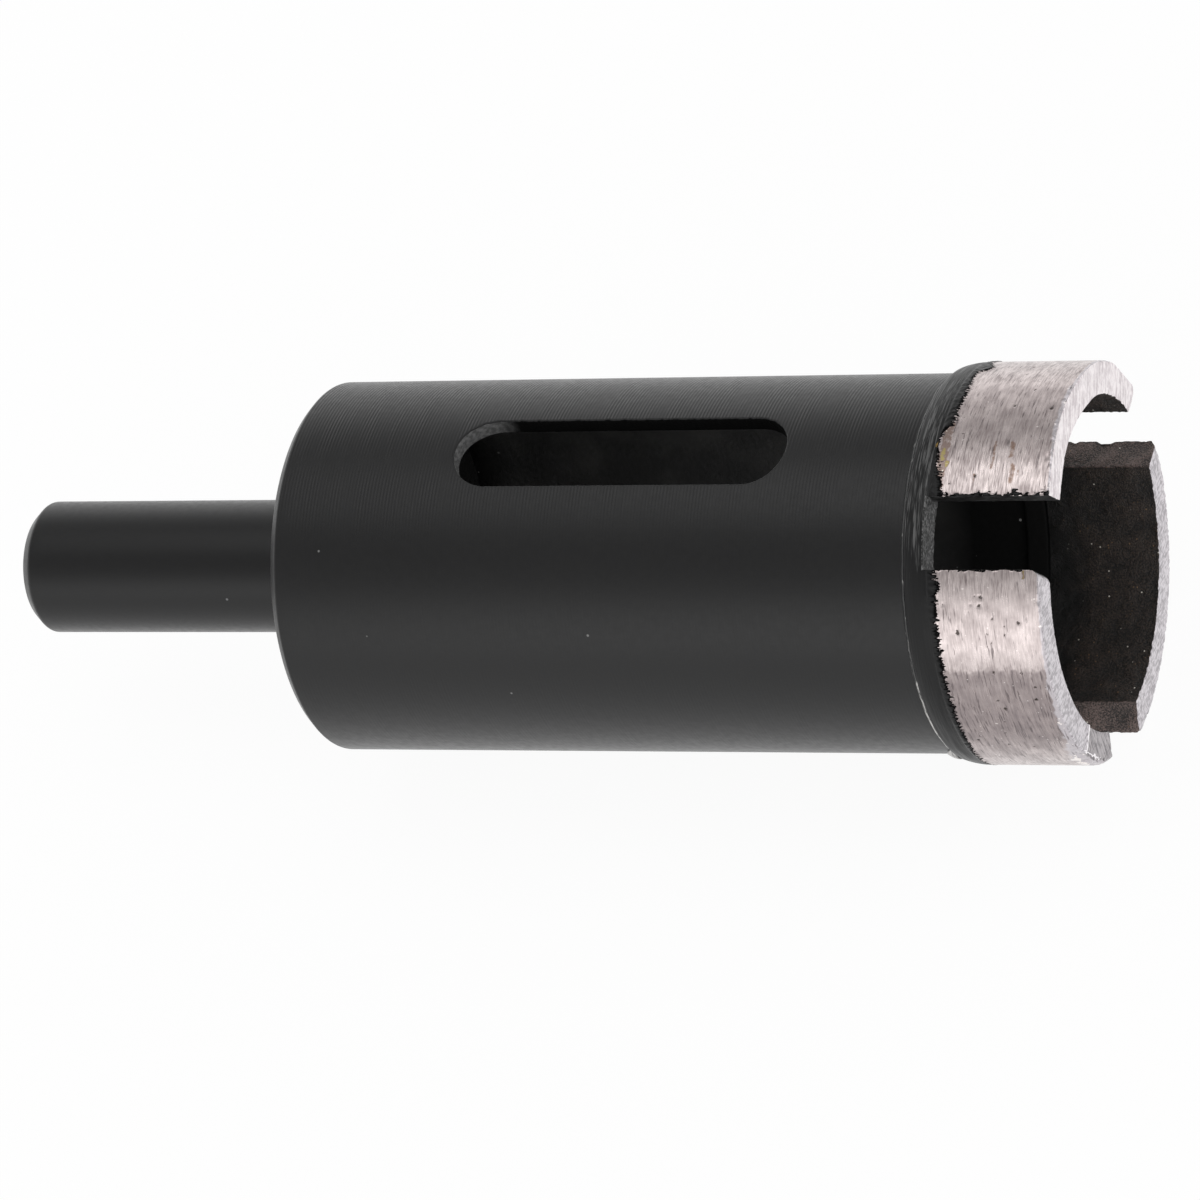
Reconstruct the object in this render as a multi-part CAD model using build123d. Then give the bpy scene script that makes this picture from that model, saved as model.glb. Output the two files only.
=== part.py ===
from build123d import *
from math import asin, cos, degrees, radians, sin
import os

os.makedirs("parts", exist_ok=True)

# A diamond core bit that lies on its side, in millimetres and degrees.
# Its axis runs along X with the cutting crown at +X. Z = 0 is the surface it lies on,
# and X = 0 is the middle of its length. It lies with the slot up, its heavier side down.

# Crown: three sintered segments brazed to the face of a steel ring
crown_dia = 28.0
crown_wall = 2.32
segment_height = 8.15
braze_thick = 0.15
ring_height = 1.57

# The ring's back edge stands a little lower than the crown and swells up to it
shoulder_drop = 0.25
shoulder_edge = 0.12

# Gaps between the segments, parallel-sided down to the ring.
# Angles turn about the axis from +Y up over the top.
gap_front_angle = 118.5
gap_front_width = 5.05
gap_back_angle = 357.0
gap_back_width = 5.8
gap_under_angle = 236.4
gap_under_width = 5.9

# Wear at the rim: outer corners knocked off beside two gaps, one corner rounded at the third
chip_run = 1.5
chip_depth = 0.55
chip_height = 2.0
worn_round = 0.8

# Barrel: a plain tube that runs inside the crown's outer edge, with one ejection slot
side_clearance = 0.75
barrel_wall = 1.2
barrel_length = 48.03
barrel_edge = 0.6
slot_length = 24.93
slot_width = 5.7
slot_setback = 22.2
slot_angle = 90.0

# Braze that fills the corner between the barrel and the ring's back face
bead_leg = 0.3

# Shank: turned in one piece with the plug that closes the barrel's back end
shank_dia = 9.6
shank_length = 24.2
shank_chamfer_length = 0.87
shank_chamfer_depth = 0.82
plug_thick = 6.0

# Radii and stations along X that follow from the sizes
crown_r = crown_dia / 2
bore_r = crown_r - crown_wall
shoulder_r = crown_r - shoulder_drop
barrel_r = crown_r - side_clearance
tube_bore_r = barrel_r - barrel_wall
shank_r = shank_dia / 2
overall_length = segment_height + braze_thick + ring_height + barrel_length + shank_length
rim_x = overall_length / 2
segment_x = rim_x - segment_height
ring_front_x = segment_x - braze_thick
ring_back_x = ring_front_x - ring_height
barrel_back_x = ring_back_x - barrel_length
shank_end_x = -rim_x

# The crown is the widest part, so it touches the floor
axis_height = crown_r

gaps = {
    "front": (gap_front_angle, gap_front_width),
    "back": (gap_back_angle, gap_back_width),
    "under": (gap_under_angle, gap_under_width),
}

# Each segment is named for where it lies, with the gap that it starts at and the one it ends at
segments = {
    "top": ("back", "front"),
    "front": ("front", "under"),
    "bottom": ("under", "back"),
}

# Segment ends with a knocked-off corner, as (segment, gap)
chipped_ends = [("top", "back"), ("front", "under"), ("bottom", "under"), ("bottom", "back")]
worn_ends = [("front", "front")]


def turned(*points):
    """A closed profile of (x, radius) points spun about the X axis."""
    return revolve(make_face(Polyline(*points, close=True)), Axis.X)


def tube(x_from, x_to, outer_r, inner_r):
    """A plain ring or tube between two stations."""
    return turned((x_from, inner_r), (x_to, inner_r), (x_to, outer_r), (x_from, outer_r))


def make_shank():
    """Shank and plug, with the chamfer that guides the shank into a chuck."""
    return turned(
        (shank_end_x, 0),
        (shank_end_x, shank_r - shank_chamfer_depth),
        (shank_end_x + shank_chamfer_length, shank_r),
        (barrel_back_x, shank_r),
        (barrel_back_x, tube_bore_r),
        (barrel_back_x + plug_thick, tube_bore_r),
        (barrel_back_x + plug_thick, 0),
    )


def make_barrel():
    """Tube with a bevelled back edge and a slot milled square to its wall."""
    body = turned(
        (barrel_back_x, tube_bore_r),
        (ring_back_x, tube_bore_r),
        (ring_back_x, barrel_r),
        (barrel_back_x + barrel_edge, barrel_r),
        (barrel_back_x, barrel_r - barrel_edge),
    )
    slot = extrude(SlotOverall(slot_length, slot_width), amount=crown_dia)
    slot = Pos(X=ring_back_x - slot_setback) * Rot(X=slot_angle - 90) * slot
    return body - slot


def make_ring():
    """Steel ring that carries the segments, its outside swelling up to the crown's size."""
    swell_start = (ring_front_x, crown_r)
    swell_end = (ring_back_x + shoulder_edge, shoulder_r)
    outline = [
        TangentArc(swell_start, swell_end, tangent=(-1, 0)),
        Polyline(
            swell_end,
            (ring_back_x, shoulder_r - shoulder_edge),
            (ring_back_x, bore_r),
            (ring_front_x, bore_r),
            swell_start,
        ),
    ]
    return revolve(make_face(outline), Axis.X)


def make_bead():
    """Bead of braze that slopes from the barrel up the ring's back face."""
    return turned(
        (ring_back_x - bead_leg, barrel_r),
        (ring_back_x, barrel_r),
        (ring_back_x, barrel_r + bead_leg),
    )


def gap_cutter(gap):
    """Parallel-sided block that runs out from the axis through the crown wall."""
    angle, width = gaps[gap]
    block = Box(overall_length, crown_dia, width, align=(Align.CENTER, Align.MIN, Align.CENTER))
    return Rot(X=angle) * block


def middle_angle(name):
    """Angle halfway along a segment."""
    start, end = (gaps[gap][0] for gap in segments[name])
    return start + ((end - start) % 360) / 2


def crown_layer(x_from, x_to):
    """One slice of the crown as three separate solids, keyed by segment name."""
    layer = tube(x_from, x_to, crown_r, bore_r) - [gap_cutter(gap) for gap in gaps]
    named = {}
    for name in segments:
        angle = radians(middle_angle(name))
        outward = Vector(0, cos(angle), sin(angle))
        named[name] = max(layer.solids(), key=lambda solid: solid.center().dot(outward))
    return named


def crown_point(x, radius, angle):
    """Point on the crown at a station, a radius and an angle in degrees."""
    return Vector(x, radius * cos(radians(angle)), radius * sin(radians(angle)))


def corner_side(name, gap):
    """+1 where the segment lies on the rising-angle side of the gap, otherwise -1."""
    return 1 if segments[name][0] == gap else -1


def corner_angle(gap, side, radius):
    """Angle of a gap's side face where it meets a radius."""
    angle, width = gaps[gap]
    return angle + side * degrees(asin(width / 2 / radius))


def knock_corner(segment, name, gap):
    """The segment with the outer rim corner beside the gap broken away along a plane."""
    side = corner_side(name, gap)
    at_rim = corner_angle(gap, side, crown_r)
    run_angle = side * degrees(chip_run / crown_r)
    on_arc = crown_point(rim_x, crown_r, at_rim + run_angle)
    inner_r = crown_r - chip_depth
    on_end = crown_point(rim_x, inner_r, corner_angle(gap, side, inner_r))
    below = crown_point(rim_x - chip_height, crown_r, at_rim)
    normal = (on_arc - on_end).cross(below - on_end)
    corner = crown_point(rim_x, crown_r, at_rim)
    if normal.dot(corner - on_end) < 0:
        normal = normal * -1
    return split(segment, bisect_by=Plane(origin=on_end, z_dir=normal), keep=Keep.BOTTOM)


def round_corner(segment, name, gap):
    """The segment with the rim corner beside the gap worn round."""
    side = corner_side(name, gap)
    middle_r = (crown_r + bore_r) / 2
    corner = crown_point(rim_x, middle_r, corner_angle(gap, side, middle_r))
    edges = segment.edges().filter_by(GeomType.LINE)
    rim_edge = min(edges, key=lambda edge: (edge.center() - corner).length)
    return fillet(rim_edge, min(worn_round, segment_height / 2))


def make_segments():
    """The three diamond segments with their worn corners."""
    made = crown_layer(segment_x, rim_x)
    for name, gap in chipped_ends:
        made[name] = knock_corner(made[name], name, gap)
    for name, gap in worn_ends:
        made[name] = round_corner(made[name], name, gap)
    return made


def save(name, shape):
    """Sets a piece down on the floor and writes it."""
    placed = Pos(Z=axis_height) * shape
    placed.label = name
    export_step(placed, f"parts/{name}.step")
    print(name, "volume", round(placed.volume, 1), "mm3")


save("shank", make_shank())
save("barrel", make_barrel())
save("crown_ring", make_ring())
save("joint_bead", make_bead())
for name, solid in crown_layer(ring_front_x, segment_x).items():
    save(f"braze_{name}", solid)
for name, solid in make_segments().items():
    save(f"segment_{name}", solid)

print("length", round(overall_length, 2), "axis height", round(axis_height, 3))
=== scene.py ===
import bmesh
import bpy
import math
import random
from functools import partial
from mathutils import Matrix, Quaternion, Vector, noise


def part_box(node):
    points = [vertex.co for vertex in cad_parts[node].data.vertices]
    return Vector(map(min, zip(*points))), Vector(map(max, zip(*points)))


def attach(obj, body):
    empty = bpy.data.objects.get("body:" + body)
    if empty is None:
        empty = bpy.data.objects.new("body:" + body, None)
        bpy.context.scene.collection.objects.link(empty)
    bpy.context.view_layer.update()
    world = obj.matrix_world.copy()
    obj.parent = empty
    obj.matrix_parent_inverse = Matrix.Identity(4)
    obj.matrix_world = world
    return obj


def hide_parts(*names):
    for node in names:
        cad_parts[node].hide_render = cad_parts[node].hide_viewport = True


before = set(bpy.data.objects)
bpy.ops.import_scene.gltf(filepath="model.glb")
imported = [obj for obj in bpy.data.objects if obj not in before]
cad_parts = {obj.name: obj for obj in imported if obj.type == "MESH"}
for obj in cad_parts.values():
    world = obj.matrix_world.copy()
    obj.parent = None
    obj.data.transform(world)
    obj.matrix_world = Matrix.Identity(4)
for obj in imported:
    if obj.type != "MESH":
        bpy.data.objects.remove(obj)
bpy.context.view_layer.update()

# A diamond core bit lying on its side with the ejection slot up. The frame is in metres with X along
# the bit, and sizes below are in millimetres. Angles turn about the bit's axis from +Y up over the top.
mm = 0.001
ringLow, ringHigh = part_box("crown_ring")
barrelLow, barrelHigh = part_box("barrel")
shankLow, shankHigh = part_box("shank")
segmentLow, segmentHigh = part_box("segment_front")

crownRadius = (ringHigh.z - ringLow.z) / 2 / mm
axisHeight = (ringHigh.z + ringLow.z) / 2 / mm
barrelRadius = (barrelHigh.z - barrelLow.z) / 2 / mm
rimX = segmentHigh.x / mm
segmentX = segmentLow.x / mm
ringFrontX = ringHigh.x / mm
ringBackX = ringLow.x / mm
barrelBackX = barrelLow.x / mm
shankEndX = shankLow.x / mm
walls = {"crown": 2.32, "barrel": 1.2}    # thickness
crownBore = crownRadius - walls["crown"]
barrelBore = barrelRadius - walls["barrel"]
print("frame read: crown radius", round(crownRadius, 2), "barrel radius", round(barrelRadius, 2))


def at(x, radius, angle):
    # a point in metres from a station, a radius and an angle in degrees
    turn = math.radians(angle)
    return Vector((x * mm, radius * math.cos(turn) * mm, (axisHeight + radius * math.sin(turn)) * mm))


def lumps(point, size, seed):
    # smooth noise from about -1 to 1 whose lumps are size millimetres across
    return noise.noise(point / (size * mm) + Vector((seed, seed * 0.7, seed * 1.3)))


def smoothStep(value, low, high):
    t = min(1.0, max(0.0, (value - low) / (high - low)))
    return t * t * (3 - 2 * t)


def addObject(name, data):
    thing = bpy.data.objects.new(name, data)
    bpy.context.scene.collection.objects.link(thing)
    return thing


def meshPiece(name, vertices, faces, materials, faceSlots=None):
    mesh = bpy.data.meshes.new(name)
    mesh.from_pydata(vertices, [], faces)
    for material in materials:
        mesh.materials.append(material)
    if faceSlots:
        mesh.polygons.foreach_set("material_index", faceSlots)
    mesh.polygons.foreach_set("use_smooth", [True] * len(mesh.polygons))
    mesh.update()
    # rounded edges stay smooth, and the square corners where two pieces meet flush stay sharp
    mesh.set_sharp_from_angle(angle=math.radians(55))
    return addObject(name, mesh)


def standFor(piece, node):
    # the piece replaces one CAD solid and takes its place in the record
    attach(piece, "root")
    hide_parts(node)
    triangles = sum(len(face.vertices) - 2 for face in piece.data.polygons)
    print("made", piece.name, "with", triangles, "triangles")


# Materials

def toLinear(colour):
    # sRGB hex to the linear values that the shaders take. A socket passes through as it is
    if isinstance(colour, bpy.types.NodeSocket):
        return colour
    parts = [int(colour[i:i + 2], 16) / 255 for i in (1, 3, 5)]
    return [c / 12.92 if c <= 0.04045 else ((c + 0.055) / 1.055) ** 2.4 for c in parts] + [1.0]


def addNode(tree, kind, inputs=None, out=0, **settings):
    # adds one node: settings are its properties, inputs are values or sockets to link; gives back one output
    node = tree.nodes.new("ShaderNode" + kind)
    for name, value in settings.items():
        setattr(node, name, value)
    for key, value in (inputs or {}).items():
        if isinstance(value, bpy.types.NodeSocket):
            tree.links.new(value, node.inputs[key])
        else:
            node.inputs[key].default_value = value
    return node.outputs[out] if len(node.outputs) else None


def newMaterial(name):
    # gives the material, addNode for its tree, and the place on the object
    material = bpy.data.materials.new(name)
    material.use_nodes = True
    material.node_tree.nodes.clear()
    add = partial(addNode, material.node_tree)
    return material, add, add("TexCoord", out="Object")


def mottle(add, place, size, detail=3.0):
    # soft noise. size is its grain in mm: one number, (along X, round the bit) or one for each axis
    sizes = size if isinstance(size, tuple) else (size,)
    scale = [1 / (v * mm) for v in (sizes + sizes[-1:] * 2)[:3]]
    drawn = add("Mapping", {"Vector": place, "Scale": scale})
    return add("TexNoise", {"Vector": drawn, "Scale": 1.0, "Detail": detail})


def fade(add, place, axis, start, end, low=0.0, high=1.0):
    # runs from low to high between two stations in mm along an axis
    station = add("SeparateXYZ", {0: place}, axis)
    return add("MapRange", {0: station, 1: start * mm, 2: end * mm, 3: low, 4: high})


def coat(add, under, over, amount, low=0.0, high=1.0, most=1.0):
    # one colour over another where amount passes from low to high, up to the share most
    cover = add("MapRange", {0: amount, 1: low, 2: high, 4: most})
    return add("Mix", {0: cover, 6: toLinear(under), 7: toLinear(over)}, 2, data_type="RGBA")


def raggedCoat(add, under, over, amount, ragged, *span):
    # the same with noise added to amount, so that the coat's edge runs unevenly
    return coat(add, under, over, add("Math", {0: amount, 1: ragged}, operation="ADD"), *span)


def speckle(add, place, under, over, spacing, size, share, clusters=1.0):
    # small dots over a colour, of size mm in cells spacing mm apart, in the given share of the cells
    cells = add("TexVoronoi", {"Vector": place, "Scale": 1 / (spacing * mm)}, "Distance")
    cellColour = add("TexVoronoi", {"Vector": place, "Scale": 1 / (spacing * mm)}, "Color")
    near = add("MapRange", {0: cells, 1: size / spacing * 0.6, 2: size / spacing, 3: 1.0, 4: 0.0})
    picked = add("Math", {0: add("SeparateColor", {0: cellColour}), 1: share}, operation="LESS_THAN")
    dots = add("Math", {0: near, 1: picked}, operation="MULTIPLY")
    dots = add("Math", {0: dots, 1: clusters}, operation="MULTIPLY")
    return coat(add, under, over, dots)


def useShader(add, colour, roughness, layers, gloss=0.5, metallic=0.0, bloom=0.0):
    # layers are bumps of (height, depth in mm), each laid over the one before
    normal = None
    for height, depth in layers:
        inputs = {"Height": height, "Strength": 1.0, "Distance": depth * mm}
        if normal:
            inputs["Normal"] = normal
        normal = add("Bump", inputs)
    shader = add("BsdfPrincipled", {
        "Base Color": colour, "Roughness": roughness, "Metallic": metallic, "Specular IOR Level": gloss,
        "Sheen Weight": bloom, "Sheen Roughness": 0.2, "Normal": normal,
    })
    add("OutputMaterial", {"Surface": shader})


blackPaint = {
    # skin is the grain of the sprayed coat and lines the width of the fine lines under it, in mm
    "turned": {"paint": "#0d0d0e", "dust": "#6f6f6e", "dustSpacing": 3.2, "roughness": 0.36, "uneven": 0.04,
               "skin": 0.5, "lines": 0.16, "relief": 0.006,
               "bloom": 0.12},          # fine overspray dust, which lightens the sides where they turn away
    "ground": {"paint": "#0c0c0d", "dust": "#6c6c6e", "dustSpacing": 3.5, "roughness": 0.33, "uneven": 0.05,
               "skin": 0.4, "lines": 0.12, "relief": 0.003, "bloom": 0.0},
    "gloss": 0.34,          # specular level of the paint
    "turningPitch": 0.25,   # mm between the lathe's grooves
    "grooveDepth": 0.024,   # mm
}


def makeBlackPaint(kind):
    # semi-matte black paint sprayed on steel: dark, with a little dust. The barrel is lathe-turned, with
    # fine grooves round it that catch the light only at a grazing angle. The ground shank is smoother
    material, add, place = newMaterial("black_paint_on_" + kind + "_steel")
    look = blackPaint[kind]
    skin = mottle(add, place, look["skin"], 2.0)
    layers = [(mottle(add, place, (look["lines"], 5.0)), look["relief"]), (skin, look["relief"])]
    if kind == "turned":
        # at scale 1 the bands repeat after 2 pi / 20
        scale = 2 * math.pi / 20 / (blackPaint["turningPitch"] * mm)
        wave = add("TexWave", {"Vector": place, "Scale": scale}, "Fac", wave_type="BANDS",
                   bands_direction="X", wave_profile="SIN")
        kept = add("MapRange", {0: mottle(add, place, (1.1, 7.0)), 1: 0.38, 2: 0.62, 3: 0.3})
        # the coat is thinner on the upper back side, so the grooves show there and fade towards the front
        kept = add("Math", {0: kept, 1: fade(add, place, "Y", -6, 7, 0.1)}, operation="MULTIPLY")
        grooves = add("Math", {0: wave, 1: kept}, operation="MULTIPLY")
        layers = [(grooves, blackPaint["grooveDepth"])] + layers
    colour = speckle(add, place, look["paint"], look["dust"], look["dustSpacing"], 0.12, 0.4)
    smooth, dull = look["roughness"] - 0.03, look["roughness"] + look["uneven"]
    rough = add("MapRange", {0: skin, 1: 0.3, 2: 0.7, 3: smooth, 4: dull})
    useShader(add, colour, rough, layers, blackPaint["gloss"], bloom=look["bloom"])
    return material


# thinAndLit is partly painted light in the dim bore, and paintedShade is painted shade deep in it and on the
# plug
borePaint = {"thinAndLit": "#5a5a5a", "worn": "#706f6e", "paintedShade": "#0c0c0c", "dust": "#a8a8a6", "gloss": 0.25,
             "roughness": 0.7}


def makeBorePaint():
    # overspray that has settled thinly in the tube: dull, dusty and greyer than the outside, a grey that is
    # also painted light in the dim bore. It turns black towards the crown and on the plug: painted shade
    # there
    material, add, place = newMaterial("overspray_and_painted_shade_in_the_bore")
    look = borePaint
    colour = coat(add, look["thinAndLit"], look["worn"], mottle(add, place, 4.0, 5.0), 0.42, 0.68)
    mouth = fade(add, place, "X", 19, 27)
    plug = fade(add, place, "X", -8, -10.7, 0.0, 0.8)
    paintedShade = add("Math", {0: mouth, 1: plug}, operation="MAXIMUM")
    colour = coat(add, colour, look["paintedShade"], paintedShade)
    colour = speckle(add, place, colour, look["dust"], 1.8, 0.12, 0.4)
    useShader(add, colour, look["roughness"], [(mottle(add, place, 0.4), 0.05)], look["gloss"])
    return material


slotPaint = {"paint": "#050505", "rubbedAndLit": "#6c6c6c", "gloss": 0.12, "roughness": 0.6}


def makeSlotEdgePaint():
    # paint over the milled wall of the slot: black and dull, and rubbed grey at the end towards the shank
    # where the cutter's marks are coarse, a grey that is partly painted light on that lit end wall
    material, add, place = newMaterial("black_paint_on_milled_steel")
    look = slotPaint
    coarse = mottle(add, place, 0.35, 4.0)
    mottled = add("MapRange", {0: coarse, 1: 0.4, 2: 0.6, 3: 0.55})
    grey = add("Math", {0: fade(add, place, "X", 0.4, -1.4), 1: mottled}, operation="MULTIPLY")
    colour = coat(add, look["paint"], look["rubbedAndLit"], grey)
    useShader(add, colour, look["roughness"], [(coarse, 0.08)], look["gloss"])
    return material


ringPaint = {"paint": "#0a0a0b", "scratch": "#565656", "gloss": 0.24, "roughness": 0.38}


def makeRingPaint():
    # black paint dragged round the ring with a brush and rubbed in use: scratches run round it, more of them
    # over the top, where the extra grey is a painted highlight of the light from above
    material, add, place = newMaterial("scratched_black_paint")
    look = ringPaint
    fine = mottle(add, place, (0.09, 1.6), 4.0)
    coarse = mottle(add, place, (0.28, 3.0))
    # scratch grey that grows towards the top: painted highlight where the light from above falls
    rubbedAndLit = add("Math", {0: coarse, 1: fade(add, place, "Z", 23, 27, -0.26, 0.12)}, operation="ADD")
    scratch = add("Math", {0: add("MapRange", {0: fine, 1: 0.46, 2: 0.6}),
                           1: add("MapRange", {0: rubbedAndLit, 1: 0.46, 2: 0.66})}, operation="MULTIPLY")
    colour = coat(add, look["paint"], look["scratch"], scratch)
    rough = add("MapRange", {0: coarse, 1: 0.3, 2: 0.7, 3: look["roughness"] - 0.06,
                             4: look["roughness"] + 0.14})
    useShader(add, colour, rough, [(coarse, 0.035), (fine, 0.015)], look["gloss"])
    return material


beadBraze = {"braze": "#b4b2b0", "paint": "#262626", "roughness": 0.36}


def makeBeadBraze():
    # silver braze under thin paint, which is worn off it along part of its length
    material, add, place = newMaterial("braze_worn_through_paint")
    look = beadBraze
    worn = add("Attribute", out="Fac", attribute_name="worn")
    worn = add("Math", {0: worn, 1: mottle(add, place, (0.4, 0.9))}, operation="ADD")
    bare = add("MapRange", {0: worn, 1: 0.92, 2: 1.08})
    colour = coat(add, look["paint"], look["braze"], bare)
    useShader(add, colour, look["roughness"], [(mottle(add, place, 0.15, 2.0), 0.02)], metallic=bare)
    return material


groundMetal = {
    "bright": "#cfc4c2",     # ground metal
    "dull": "#978c8b",       # the floor of the scratches
    "coarse": "#7a7172",     # where it was ground more coarsely, and in part painted shade
    "score": "#5c5455",
    "fleckAndGlint": "#efe8e4",
    "filed": "#bcb7bb",      # the worn edge beside the rim
    "stain": "#7d6353",      # brown streaks
    "pit": "#2f2924",
    "paint": "#0a0a0b",
    "crackAndShade": "#020202",
    "copper": "#86736b",
    "brass": "#a39660",
    "roughness": 0.24,
}


def makeGroundMetal():
    # sintered metal ground round its outside: bright and pinkish with fine scratches that run round,
    # dark pits where grit broke out, their dark partly painted shade in the hollows, and black paint on its
    # root that ends in a ragged line
    material, add, place = newMaterial("ground_sintered_metal")
    look = groundMetal
    fine = mottle(add, place, (0.07, 0.7))
    mid = mottle(add, place, (0.17, 1.6))
    cloud = mottle(add, place, 1.3, 4.0)
    grain = mottle(add, place, 0.09, 2.0)
    blotch = mottle(add, place, 0.3)
    mixed = add("Mix", {0: 0.4, 2: fine, 3: mid})
    mixed = add("Mix", {0: 0.3, 2: mixed, 3: cloud})
    tone = add("MapRange", {0: mixed, 1: 0.41, 2: 0.58})

    # marks hold the pits in red, the stains in green, the brass patch in blue and the coarse part in alpha,
    # which is below 0 where the grinding is finer and the scratches are faint
    marks = add("Attribute", out="Color", attribute_name="marks")
    pit, stain, patch = (add("SeparateColor", {0: marks}, channel) for channel in ("Red", "Green", "Blue"))
    coarse = add("Attribute", out="Alpha", attribute_name="marks")
    filed, burrGlint, depth = (add("Attribute", out="Fac", attribute_name=label)
                           for label in ("filed", "burrGlint", "bareDepth"))
    fineGround = add("MapRange", {0: coarse, 1: 0.0, 2: -0.5, 4: 0.6})
    even = add("MapRange", {0: cloud, 1: 0.3, 2: 0.7, 3: 0.35, 4: 0.9})
    tone = add("Mix", {0: fineGround, 2: tone, 3: even})
    metal = coat(add, look["dull"], look["bright"], tone)

    # the coarse part ends in a fringe of scratches; on the front segment it is also painted shade
    coarseToneAndShade = coat(add, look["coarse"], look["dull"], tone)
    fringe = add("MapRange", {0: fine, 1: 0.35, 2: 0.65, 3: -0.35, 4: 0.35})
    fringe = add("Math", {0: coarse, 1: fringe}, operation="ADD")
    inside = add("MapRange", {0: coarse, 1: 0.0, 2: 0.15})
    coarse = add("Math", {0: fringe, 1: inside}, operation="MULTIPLY", use_clamp=True)
    metal = coat(add, metal, coarseToneAndShade, coarse)
    # the smear is copper-brown up to half and brass above that
    for kind, *amounts in (("filed", filed, grain, 0.75, 1.25, 0.9), ("stain", stain, blotch, 1.2, 1.6, 0.85),
                           ("copper", patch, blotch, 0.75, 0.95, 0.85),
                           ("brass", patch, blotch, 1.15, 1.4, 0.85), ("pit", pit, grain, 0.85, 1.3, 0.92)):
        metal = raggedCoat(add, metal, look[kind], *amounts)

    # a few deeper scratches, dark, and flecks of bare bright metal with burrs of it along the worn edge, the
    # near-white flecks there partly painted glints
    worst = add("Math", {0: coarse, 1: 0.05, 2: mottle(add, place, (0.13, 1.3))}, operation="MULTIPLY_ADD")
    metal = coat(add, metal, look["score"], worst, 0.61, 0.7, 0.75)
    burr = add("MapRange", {0: filed, 1: 0.15, 2: 0.5, 4: 0.07})
    fleckAndGlint = add("Math", {0: blotch, 1: burr}, operation="ADD")
    fleckAndGlint = add("MapRange", {0: fleckAndGlint, 1: 0.7, 2: 0.76, 4: 0.8})
    # the near-white line along the facet's burr is a painted highlight
    burrGlint = add("Math", {0: burrGlint, 1: blotch}, operation="ADD")
    burrGlint = add("MapRange", {0: burrGlint, 1: 1.05, 2: 1.3, 4: 0.9})
    fleckAndGlint = add("Math", {0: fleckAndGlint, 1: burrGlint}, operation="MAXIMUM")
    metal = coat(add, metal, look["fleckAndGlint"], fleckAndGlint)

    # teeth 0.1 to 0.3 mm wide along the paint's edge, longer in some places than in others
    teeth = add("Math", {0: mottle(add, place, (0.5, 0.15), 4.0), 1: 0.5}, operation="SUBTRACT")
    length = add("MapRange", {0: cloud, 1: 0.38, 2: 0.6, 3: 0.5, 4: 1.8})
    teeth = add("Math", {0: teeth, 1: length}, operation="MULTIPLY")
    level = add("Math", {0: depth, 1: teeth}, operation="ADD")
    bare = add("MapRange", {0: level, 1: -0.02, 2: 0.02})
    colour = coat(add, look["paint"], metal, bare)
    # the coat is cracked and torn along its edge, where a black line of painted shade runs and no gloss is
    # left
    torn = add("MapRange", {0: level, 1: -0.34, 2: -0.14, 3: 1.0, 4: 0.12})
    gloss = add("Math", {0: torn, 1: ringPaint["gloss"]}, operation="MULTIPLY")
    torn = add("Math", {0: torn, 1: bare}, operation="MAXIMUM")
    colour = coat(add, look["crackAndShade"], colour, torn)
    paintStep = add("Math", {0: 1.0, 1: bare}, operation="SUBTRACT")
    rough = add("MapRange", {0: mixed, 1: 0.35, 2: 0.65, 3: look["roughness"] + 0.14, 4: look["roughness"]})
    rough = add("Mix", {0: bare, 2: ringPaint["roughness"], 3: rough})
    useShader(add, colour, rough, [(mid, 0.009), (fine, 0.006), (grain, 0.006), (paintStep, 0.1)],
              gloss, bare)
    return material


rimMetal = {
    # turn is the angle of the file's strokes and stroke their length in mm. pitted is how much of the
    # tone comes from small pits and not from the strokes
    "filed": {"bright": "#cec9cd", "dull": "#9a9599", "turn": 109.0, "stroke": 0.8, "pitted": 0.45,
              "metallic": 0.9},
    "polished": {"bright": "#f1eaeb", "dull": "#c6bcbf", "turn": 53.0, "stroke": 1.5, "pitted": 0.25,
                 "metallic": 0.6},
    "torn": {"bright": "#a8a2a4", "dull": "#686366", "turn": 10.0, "stroke": 1.2, "pitted": 0.25,
             "metallic": 0.9},
    "gouge": "#777276",
    # burr is the near-white of the painted highlight on the facet's burr
    "burr": "#f6f2f4",
    "roughness": 0.33,
}


def makeRimMetal(kind):
    # the same metal on the rim, filed across: cooler and greyer, its scratches run aslant
    material, add, place = newMaterial(kind + "_sintered_metal")
    look = rimMetal[kind]
    turned = add("Mapping", {"Vector": place, "Rotation": (math.radians(look["turn"]), 0, 0)})
    filing = mottle(add, turned, (1.5, 0.14, look["stroke"]))
    grain = mottle(add, place, 0.3, 5.0)
    mixed = add("Mix", {0: look["pitted"], 2: filing, 3: grain})
    mixed = add("Mix", {0: 0.2, 2: mixed, 3: mottle(add, place, 1.2)})
    colour = coat(add, look["dull"], look["bright"], mixed, 0.43, 0.55)
    colour = coat(add, colour, rimMetal["gouge"], filing, 0.62, 0.7, 0.45)
    # a painted highlight on the burr along the facet's edge
    burrGlint = add("Attribute", out="Fac", attribute_name="burrGlint")
    colour = raggedCoat(add, colour, rimMetal["burr"], burrGlint, grain, 0.95, 1.2, 0.9)
    useShader(add, colour, rimMetal["roughness"], [(grain, 0.04), (filing, 0.02)], metallic=look["metallic"])
    return material


sinterSkin = {
    "inside": {"dark": "#11100f", "brown": "#3d332d", "gritShare": 0.5},
    "ends": {"dark": "#26201e", "brown": "#6f5f5a", "gritShare": 0.12},
    "amber": "#86684b",
    "glint": "#dcd6cc",
    "sprayAndShade": "#0b0b0b",
    "roughness": 0.62,
}


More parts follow.
